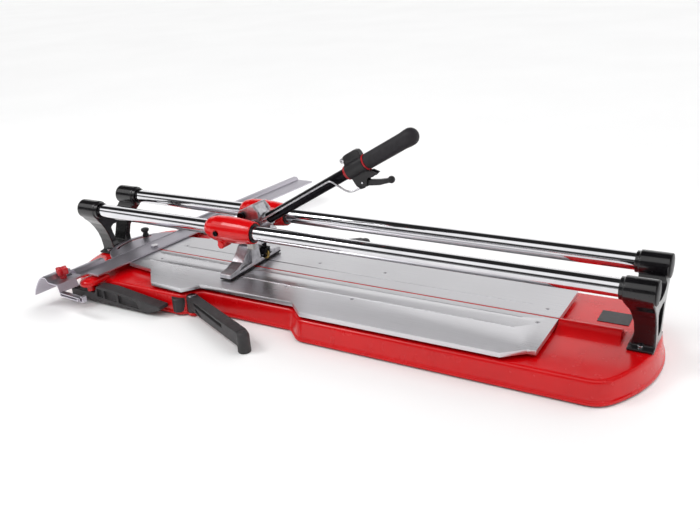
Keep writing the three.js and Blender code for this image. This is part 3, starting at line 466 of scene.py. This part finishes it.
def makePan():
    outline = panOutline()
    skirt = [
        (6.5, 3.0), (7.4, 3.6), (7.7, 5.2), (7.4, 7.4), (6.6, 9.2), (5.6, 10.2), (5.2, 11.2), (4.9, 13.0),
        (3.6, 21.0), (2.4, 29.0), (1.4, 35.5), (0.8, 38.6), (-0.2, 41.0), (-1.8, 42.9), (-4.0, 43.8),
        (-6.5, 44.0),
    ]
    inside = [(-6.5, 42.0), (-3.4, 41.2), (-1.4, 38.6), (0.4, 29.0), (3.0, 12.0), (4.9, 6.0), (5.0, 3.0)]
    verts, faces = skin(fromCut(loftRings(outline, inside + skirt)))
    body = newPiece("pressed_pan", verts, faces, "red_paint", "base", ["base_pan"], 40)
    roots = []
    for side in (-1, 1):
        hinge = joints[("front" if side < 0 else "rear") + "_middle_arm_swing"]["pos_m"]
        ring = turnedRings([(13.5, 8), (13.5, 41.4)], 40) * mm + [hinge[0], hinge[1], 0]
        roots.append(skin(ring))
    cutAway(body, roots)
    parts = []
    ribProfile = np.array(pan["rib"] + [(-y, z) for y, z in pan["rib"][-2::-1]])
    for low, high in ((railHigh[0] / mm + 1, 560), (-560, railLow[0] / mm - 1)):
        xs = np.array([low, low + 1.5, high - 6, high - 2.5, high])
        if low < 0:
            xs = np.array([low, low + 2.5, low + 6, high - 1.5, high])
        sink = np.where(np.isin(np.arange(5), [4] if low > 0 else [0]), 0.55, 1.0)
        rise = ribProfile[:, 1] - 44
        sections = np.stack([
            np.broadcast_to(xs[:, None], (5, len(ribProfile))),
            np.broadcast_to(ribProfile[None, :, 0], (5, len(ribProfile))),
            44 + rise[None] * sink[:, None]], -1)
        under = sections[:, [-1, 0]].copy()
        under[..., 2] = 43.2
        rings = np.concatenate([sections, under], 1)
        verts, faces = skin(fromCut(rings))
        parts.append((verts, faces))
    ear = pan["ear"]
    for side in (-1, 1):
        t = np.linspace(0, math.pi, 25)
        r = ear["radius"]
        bow = np.stack([ear["x"] + r * np.cos(t), side * (ear["y"] + r * np.sin(t))], -1)
        root = np.array([[ear["x"] - r, side * 142], [ear["x"] + r, side * 142]])
        loop = np.concatenate([bow, root])
        if side < 0:
            loop = loop[::-1]
        dome = [
            (-1, 42.4), (0, 43.4), (0, 47.5), (-0.8, 50.4), (-2.6, 52.6), (-5.6, 54.1), (-9.5, 54.8),
            (-13, 55),
        ]
        parts.append(skin(fromCut(loftRings(loop, dome))))
        stem = turnedRings([(7.4, 27.4), (8.4, 28.2), (8.5, 30), (8.5, 43.5)], 32)
        parts.append(skin(fromCut(stem + [ear["x"], side * (ear["y"] - 3), 0])))
        for kind in ("middle", "side"):
            hinge = joints[("front" if side < 0 else "rear") + f"_{kind}_arm_swing"]["pos_m"]
            x, y = hinge[0] / mm, side * abs(hinge[1] - cutY) / mm
            bow = np.stack([x + 13 * np.cos(t), y + side * 13 * np.sin(t)], -1)
            loop = np.concatenate([bow, [[x - 13, y - side * 30], [x + 13, y - side * 30]]])
            if side < 0:
                loop = loop[::-1]
            plate = [(-0.6, 3.0), (0, 3.6), (0, 7.4), (-0.6, 8.0)]
            parts.append(skin(fromCut(loftRings(loop, plate))))
    mergedPiece("pan_ribs_and_ears", parts, "red_paint", "base", (), 40)
    print("base pan is made")


# round pieces: each is a (radius, height) profile in mm along an axis
def turnedPiece(name, profile, axis, place, slot, body, replaces=(), steps=64, sharp=40):
    rings = turnedRings(profile, steps)
    closed = profile[0][0] > 0 and np.allclose(profile[0], profile[-1])
    verts, faces = skin(rings, not closed, not closed)
    return newPiece(name, placed(verts * mm, axis) + place, faces, slot, body, replaces, sharp)


def barEnds(half, radius, ease=1.2):
    return [(radius - ease, -half), (radius - ease / 3, -half + ease / 3), (radius, -half + ease),
            (radius, half - ease), (radius - ease / 3, half - ease / 3), (radius - ease, half)]


def makeGuides():
    for end in ("front", "rear"):
        node = end + "_guide_bar"
        low, high = boxOf(node)
        half, radius = (high[0] - low[0]) / 2 / mm, (high[2] - low[2]) / 2 / mm
        bar = barEnds(half, radius)
        turnedPiece(node + "_chromed", bar, "x", middleOf(node), "chrome", "base", [node], 96)
        for way in ("left", "right"):
            cap = f"{end}_{way}_guide_cap"
            centre = middleOf(node)
            outer = boxOf(cap)[1 if way == "right" else 0][0]
            sign = 1 if way == "right" else -1
            face = abs(outer - centre[0]) / mm
            profile = [(14.6, half + 0.3), (14.6, face - 3.4), (20.2, face - 3.4), (20.6, face - 2.9),
                       (20.2, face - 2.0), (18.8, face - 1.2), (17.2, face - 0.9), (16.6, face - 1.3),
                       (15.6, face - 1.4), (14.6, face - 0.8), (11, face - 0.25), (6, face), (0.02, face)]
            verts, faces = skin(turnedRings(profile, 64))
            verts = placed(verts * mm, "x")
            if sign < 0:
                verts = verts * [-1, 1, 1]
                faces = [f[::-1] for f in faces]
            newPiece(cap + "_domed", verts + centre, faces, "black_plastic", "base", [cap], 40)
    print("guide bars are made")


grip = {"start": 313, "radius": 15, "end": 414, "drop": -30.5, "ribs": 26, "ribDepth": 0.35}


def alongLever(name, profile, slot, body, replaces, steps=64, sharp=40, closed=False):
    # a profile of (radius, distance from the pivot) turned about the tube's axis
    rings = turnedRings(profile, steps)
    verts, faces = skin(rings, not closed, not closed)
    local = placed(verts, "x") + [0, 0, grip["drop"]]
    return newPiece(name, onLever(local), faces, slot, body, replaces, sharp)


def makeLever():
    low = 20.3
    tube = [
        (9, 397), (9.2, low), (10.6, low), (11, low + 0.4), (11, 397.6), (10.6, 398), (9.2, 398), (9, 397),
    ]
    alongLever("lever_bar_blacked", tube, "black_steel", "lever", ["lever_bar"], 80, 40, True)
    start, r, end = grip["start"], grip["radius"], grip["end"]
    body = [(11.4, start + 6), (11.4, start), (r - 1.6, start), (r - 0.5, start + 0.5), (r, start + 1.6)]
    x = np.linspace(start + 4, end - 18, 4 * grip["ribs"] + 1)
    along = (x - x[0]) / (x[-1] - x[0])
    wave = r - grip["ribDepth"] * (0.5 - 0.5 * np.cos(2 * math.pi * along * grip["ribs"]))
    body += list(zip(wave, x))
    t = np.linspace(0, math.pi / 2, 12)
    body += [(r + 0.1, end - 15), (r + 0.5, end - 10), (r + 0.9, end - 5)]
    body += [((r + 1) * math.cos(a) if a < 1.57 else 0.02, end + (r + 1) * math.sin(a)) for a in t]
    alongLever("grip_moulded", body, "rubber", "lever", ["grip"], 72, 50)
    collars = [("grip_collar", 309.3, 312.7, 15.5), ("lever_collar", 262, 267.7, 14.2)]
    for node, first, last, radius in collars:
        ring = [(11.4, first), (radius - 0.6, first), (radius, first + 0.6), (radius, last - 0.6),
                (radius - 0.6, last), (11.4, last), (11.4, first)]
        alongLever(node + "_turned", ring, "red_plastic", "lever", [node], 64, 40, True)
    rod = [
        (18, -16.8, -27.4), (60, -16.8, -27.4), (120, -16.8, -27.4), (180, -16.8, -27.4),
        (226, -16.8, -27.4), (232, -16.8, -29.5), (250, -16.3, -57), (256, -15.8, -62.6),
        (264, -14.8, -65.6), (272, -13.2, -66), (279, -11.4, -66),
    ]
    verts, faces = wireSkin(onLever(smoothPath(rod, 140)), 1.9 * mm, 16)
    newPiece("control_rod_bent", verts, faces, "bright_steel", "control_rod", ["control_rod"], 60)
    print("lever is made")


def smoothPath(points, count):
    # points on straight runs with softened bends: a chord-length line, averaged over a short window
    p = np.asarray(points, float)
    d = np.concatenate([[0], np.cumsum(np.linalg.norm(np.diff(p, axis=0), axis=1))])
    s = np.linspace(0, d[-1], count)
    line = np.stack([np.interp(s, d, p[:, k]) for k in range(3)], -1)
    kernel = np.hanning(9)[1:-1]
    kernel /= kernel.sum()
    padded = np.concatenate([line[:1].repeat(3, 0), line, line[-1:].repeat(3, 0)])
    return np.stack([np.convolve(padded[:, k], kernel, "valid") for k in range(3)], -1)


# small fittings: places and sizes in mm
fittings = {
    "bedScrews": [(-415, 42), (-70, 63), (82, 67), (424, 28.5)],
    "supportScrew": {"x": 592, "y": 30, "height": 49.0},
    "slideBlock": {"x": -179, "y": 21.5, "z": 115, "size": (16, 9, 13.5)},
}


def boxSkin(low, high, ease=0.6):
    # a block with chamfered upright and level edges, as a stack of four outlines
    (x0, y0, z0), (x1, y1, z1) = low, high
    outline = np.array([
        (x0 + ease, y0), (x1 - ease, y0), (x1, y0 + ease), (x1, y1 - ease),
        (x1 - ease, y1), (x0 + ease, y1), (x0, y1 - ease), (x0, y0 + ease)], float)
    return skin(loftRings(outline, [(-ease, z0), (0, z0 + ease), (0, z1 - ease), (-ease, z1)]))


def socketHead(radius, height, socket=0.5):
    # a cap head with a hexagon socket, as one turned skin whose inner rings have six sides
    t = np.linspace(0, 2 * math.pi, 48, endpoint=False)
    ring = np.stack([np.cos(t), np.sin(t)], -1)
    flat = np.cos(math.pi / 6) / np.cos((t % (math.pi / 3)) - math.pi / 6)
    key = ring * flat[:, None] * radius * socket
    rings = [(radius, 0), (radius, height - 0.7), (radius - 0.3, height - 0.2), (radius - 0.9, height)]
    stack = [np.column_stack([ring * r, np.full(48, z)]) for r, z in rings]
    stack += [np.column_stack([key, np.full(48, z)]) for z in (height, height - 0.5 * height)]
    return skin(np.stack(stack))


def lobedHead(radius, lobe, height, lobes=4, steps=120):
    # r = radius + lobe cos(lobes t), domed on top
    t = np.linspace(0, 2 * math.pi, steps, endpoint=False)
    r = radius + lobe * np.cos(lobes * t)
    rings = []
    insets = [
        (1.2, 0), (0.3, 0.5), (0, 1.6), (0, height - 2.6), (0.5, height - 1.2), (1.6, height - 0.3),
        (3.4, height), (radius * 0.55, height), (radius * 0.6, height - 1.0), (radius - 0.3, height - 1.0),
    ]
    for inset, z in insets:
        ring = np.maximum(r - inset, 0.3)
        rings.append(np.column_stack([ring * np.cos(t), ring * np.sin(t), np.full(steps, z)]))
    return skin(np.stack(rings))


def spring(radius, wire, low, high, turns, sides=10):
    # the wire's middle follows x = r cos t, y = r sin t, z rising evenly
    t = np.linspace(0, turns * 2 * math.pi, int(turns * 40))
    rise = low + wire + (high - low - 2 * wire) * t / t[-1]
    path = np.stack([radius * np.cos(t), radius * np.sin(t), rise], -1)
    return wireSkin(path, wire, sides)


def wireSkin(path, radius, sides):
    # a round section carried along a path: path + radius (u cos t + v sin t)
    ahead = np.gradient(path, axis=0)
    ahead /= np.linalg.norm(ahead, axis=1, keepdims=True)
    side = np.cross(ahead, [0.03, 1, 0.02])
    side /= np.linalg.norm(side, axis=1, keepdims=True)
    up = np.cross(ahead, side)
    t = np.linspace(0, 2 * math.pi, sides, endpoint=False)
    ring = side[:, None] * np.cos(t)[None, :, None] + up[:, None] * np.sin(t)[None, :, None]
    return skin(path[:, None] + radius * ring)


def moved(part, place, axis="z"):
    # a skin made along Z about the origin, turned to an axis and moved
    verts, faces = part
    return placed(verts, axis) + place, faces


def toCut(part):
    verts, faces = part
    return fromCut(verts), faces


def makeScrews():
    countersunk = [(0.02, -3), (4.0, -3), (4.1, -0.9), (4.0, -0.5), (1.7, -0.5), (1.6, -1.8), (0.02, -1.8)]
    for half, side in (("front", -1), ("rear", 1)):
        parts = [
            toCut(moved(skin(turnedRings(countersunk, 32)), (x, side * y, bedTop / mm)))
            for x, y in fittings["bedScrews"]]
        mergedPiece(half + "_bed_screws", parts, "bright_steel", half + "_bed", (), 30)
    spot = fittings["supportScrew"]
    parts = [
        toCut(moved(socketHead(5, 4.4), (x, y, spot["height"])))
        for x in (-spot["x"], spot["x"]) for y in (-spot["y"], spot["y"])]
    washer = [(3, 0), (7.4, 0), (7.6, 0.3), (7.4, 0.9), (3, 0.9), (3, 0)]
    parts += [
        toCut(moved(skin(turnedRings(washer, 32), False, False), (x, y, spot["height"] - 0.9)))
        for x in (-spot["x"], spot["x"]) for y in (-spot["y"], spot["y"])]
    mergedPiece("support_screws", parts, "bright_steel", "base", (), 30)
    for half, side in (("front", -1), ("rear", 1)):
        middle, (low, high) = middleOf(half + "_guide_housing"), boxOf(half + "_guide_housing")
        face = (low if side < 0 else high)[1]
        head = moved(socketHead(5.4, 3.2), (0, 0, 0), "y")
        turned = (head[0] * [1, side, 1], head[1] if side > 0 else [f[::-1] for f in head[1]])
        place = np.array([middle[0] / mm - 21, (face - cutY) / mm - side * 0.9, 157.5])
        newPiece(half + "_housing_screw", fromCut(turned[0] + place), turned[1], "black_steel", "carriage")
    print("screws are made")


def makeBracketFittings():
    # a hexagon-socket bolt on the trigger bracket's near side
    low = boxOf("trigger_bracket")[0]
    face = (low[1] - pivot[1]) / mm
    head = moved(socketHead(4.6, 3.4), (0, 0, 0), "y")
    bolt = head[0] * [1, -1, 1] + [276, face + 0.6, -7.5]
    newPiece("bracket_bolt", onLever(bolt), [f[::-1] for f in head[1]], "bright_steel", "lever")
    print("bracket fittings are made")


def makeHingeBrackets():
    # dark cheeks beside the middle arms, outside the circle that the arm's root turns in
    for half, side in (("front", -1), ("rear", 1)):
        hinge = joints[half + "_middle_arm_swing"]["pos_m"]
        x = hinge[0] / mm
        outline = np.array([
            (x - 50, 150), (x - 14.5, 150), (x - 15, 152), (x - 19, 161), (x - 26, 167), (x - 34, 166),
        ], float)
        if side < 0:
            outline = outline[::-1]
        outline = outline * [1, side]
        cheek = [(-1.2, 9), (0, 10.2), (0, 36.5), (-1.4, 38)]
        verts, faces = skin(fromCut(loftRings(outline, cheek)))
        newPiece(half + "_arm_cheek", verts, faces, "grey_plastic", "base", (), 40)
    print("hinge cheeks are made")


def makeKnobs():
    low, high = boxOf("stop_clamp_knob")
    middle = middleOf("stop_clamp_knob") / mm
    hub = [(0.02, 0), (7, 0), (7, 6), (5.4, 9), (5.4, 12.5), (0.02, 12.5)]
    height = (high[2] - low[2]) / mm
    verts, faces = lobedHead(11.2, 3, height - 9)
    turn = math.radians(20) + fenceTurn
    c, s = math.cos(turn), math.sin(turn)
    x, y = verts[:, 0], verts[:, 1]
    verts = np.column_stack([x * c - y * s, x * s + y * c, verts[:, 2] + 9])
    parts = [(verts, faces), skin(turnedRings(hub, 40))]
    place = np.array([middle[0], middle[1], low[2] / mm])
    parts = [((v + place) * mm, f) for v, f in parts]
    mergedPiece("stop_knob_moulded", parts, "red_plastic", "stop_knob", ["stop_clamp_knob"], 40)
    low, high = boxOf("angle_lock_knob")
    middle = middleOf("angle_lock_knob")
    profile = [
        (0.02, 0), (6.6, 0), (7, 0.5), (6.9, 5), (5.6, 8.4), (5.5, 9.6), (6.6, 11.6), (8.6, 13.4),
        (9.5, 15.4), (9.4, 17.4), (8.5, 19.2), (6.4, 20.2), (3, 20.5), (0.02, 20.5),
    ]
    place = np.array([middle[0], middle[1], low[2]])
    turnedPiece(
        "angle_lock_knob_moulded", profile, "z", place, "black_plastic", "lock_knob",
        ["angle_lock_knob"], 48)
    print("knobs are made")


def makeFeet():
    height = (boxOf("front_left_foot")[1][2]) / mm
    profile = [
        (0.02, 0), (14.4, 0), (15.6, 0.5), (16.6, 1.6), (17, 3.2), (16.2, 7.4), (15, 8.9), (13.2, 9.8),
        (9.6, 11.4), (9, 12.6), (9, height), (0.02, height),
    ]
    for half in ("front", "rear"):
        for end in ("left", "right"):
            node = f"{half}_{end}_foot"
            place = middleOf(node) * [1, 1, 0]
            turnedPiece(node + "_moulded", profile, "z", place, "rubber", "base", [node], 48)
    for half in ("front", "rear"):
        for kind in ("middle", "side"):
            node = f"{half}_{kind}_arm_pin"
            (x0, y0, z0), (x1, y1, z1) = boxOf(node)
            radius, low, high = (x1 - x0) / 2 / mm, z0 / mm, z1 / mm
            pin = [(0.02, low), (radius - 0.6, low), (radius, low + 0.6), (radius, high - 0.8),
                   (radius - 0.8, high - 0.2), (radius - 1.6, high), (0.02, high)]
            place = np.array([(x0 + x1) / 2, (y0 + y1) / 2, 0])
            turnedPiece(node + "_turned", pin, "z", place, "bright_steel", bodyOf[node], [node], 40)
    print("feet and pins are made")


def makeBreaker():
    low, high = boxOf("breaker_spring")
    middle = middleOf("breaker_spring") / mm
    verts, faces = spring(8.1, 1.1, low[2] / mm, high[2] / mm, 3)
    verts = (verts + [middle[0], middle[1], 0]) * mm
    body = bodyOf["breaker_spring"]
    newPiece("breaker_spring_coil", verts, faces, "bright_steel", body, ["breaker_spring"], 60)
    block = fittings["slideBlock"]
    size = np.array(block["size"]) / 2
    parts = []
    for side in (-1, 1):
        centre = np.array([block["x"], side * block["y"], block["z"]])
        parts.append(toCut(boxSkin(centre - size, centre + size, 0.8)))
    mergedPiece("slide_blocks", parts, "pale_nylon", "carriage", (), 40)
    print("breaker fittings are made")


# the sky is given by its angle over the object, from 0 at the back to 180 at the front
studio = {
    "floorSize": 60, "skyPower": 1.15,
    "sky": [
        (27, 1.0), (38, 0.45), (46, 0.02), (103, 0.02), (109, 1.0), (142, 1.0), (148, 0.04), (166, 0.04),
        (172, 0.3),
    ],
    "softbox": {"place": (-1.3, -1.2, 1.9), "size": 0.7, "power": 14},
    "lamps": [
        ("highLamp", (0.5, 0.6, 1.0), 70, 1.9),
        ("frontLamp", (-0.2, -1.0, 0.9), 60, 0.5),
    ],
}


def makeStudio():
    size = studio["floorSize"] / 2
    mesh = bpy.data.meshes.new("sweep")
    corners = [(-size, -size, 0), (size, -size, 0), (size, size, 0), (-size, size, 0)]
    mesh.from_pydata(corners, [], [(0, 1, 2, 3)])
    floor = bpy.data.objects.new("sweep", mesh)
    floor.data.materials.append(paleFloor())
    bpy.context.scene.collection.objects.link(floor)
    world = bpy.data.worlds.new("studio")
    world.use_nodes = True
    bpy.context.scene.world = world
    tree = world.node_tree
    tree.nodes.clear()
    direction = addNode(tree, "ShaderNodeTexCoord").outputs["Generated"]
    way = addNode(tree, "ShaderNodeSeparateXYZ", None, Vector=direction)
    angle = addNode(tree, "ShaderNodeMath", {"operation": "ARCTAN2"}, n0=way.outputs[2], n1=way.outputs[1])
    turn = addNode(tree, "ShaderNodeMath", {"operation": "DIVIDE"}, n0=angle.outputs[0], n1=math.pi)
    ramp = addNode(tree, "ShaderNodeValToRGB", None, Fac=turn.outputs[0])
    elements = ramp.color_ramp.elements
    elements[0].position, elements[0].color = 0.0, (1, 1, 1, 1)
    elements[1].position, elements[1].color = 1.0, (0.25, 0.25, 0.25, 1)
    for degrees, shade in studio["sky"]:
        element = elements.new(degrees / 180)
        element.color = (shade, shade, shade, 1)
    back = addNode(tree, "ShaderNodeBackground", None, Color=ramp.outputs[0], Strength=studio["skyPower"])
    addNode(tree, "ShaderNodeOutputWorld", None, Surface=back.outputs[0])
    for name, place, spread, power in studio["lamps"]:
        light = bpy.data.lights.new(name, "SUN")
        light.energy = power
        light.angle = math.radians(spread)
        lamp = bpy.data.objects.new(name, light)
        lamp.rotation_euler = Vector(place).to_track_quat("Z", "Y").to_euler()
        lamp.visible_glossy = False  # they light the sweep without showing in the chrome
        bpy.context.scene.collection.objects.link(lamp)
    box = studio["softbox"]
    light = bpy.data.lights.new("softbox", "AREA")
    light.size = box["size"]
    light.energy = box["power"]
    lamp = bpy.data.objects.new("softbox", light)
    lamp.location = box["place"]
    lamp.rotation_euler = Vector(box["place"]).to_track_quat("Z", "Y").to_euler()
    bpy.context.scene.collection.objects.link(lamp)
    bpy.context.scene.view_settings.view_transform = "Standard"


makeStudio()
print("studio is set")
makePan()
makeGuides()
makeLever()
makeScrews()
makeKnobs()
makeFeet()
makeBreaker()
makeBracketFittings()
makeHingeBrackets()

castings = [  # each group with its voxel in mm and its smoothing passes
    (("left_guide_support", "right_guide_support"), 1.0, 6),
    (("front_guide_housing", "rear_guide_housing"), 0.8, 8),
    (("carriage_block", "lever_yoke", "breaker_foot", "trigger_bracket", "trigger"), 0.6, 5),
    (("front_middle_arm", "rear_middle_arm", "front_side_arm", "rear_side_arm"), 0.9, 3),
]
for group, voxel, passes in castings:
    for name in group:
        castNode(name, voxel, passes)
for name in ("front_bed", "rear_bed", "breaking_rail", "fence_rail", "protractor", "fence_stop"):
    easedNode(name, 0.45)
print("castings and plates are made")

for name, node in nodes.items():
    if not node.hide_render:
        node.data.materials.clear()
        node.data.materials.append(finishes[slotOf[name]])
print("materials are on")
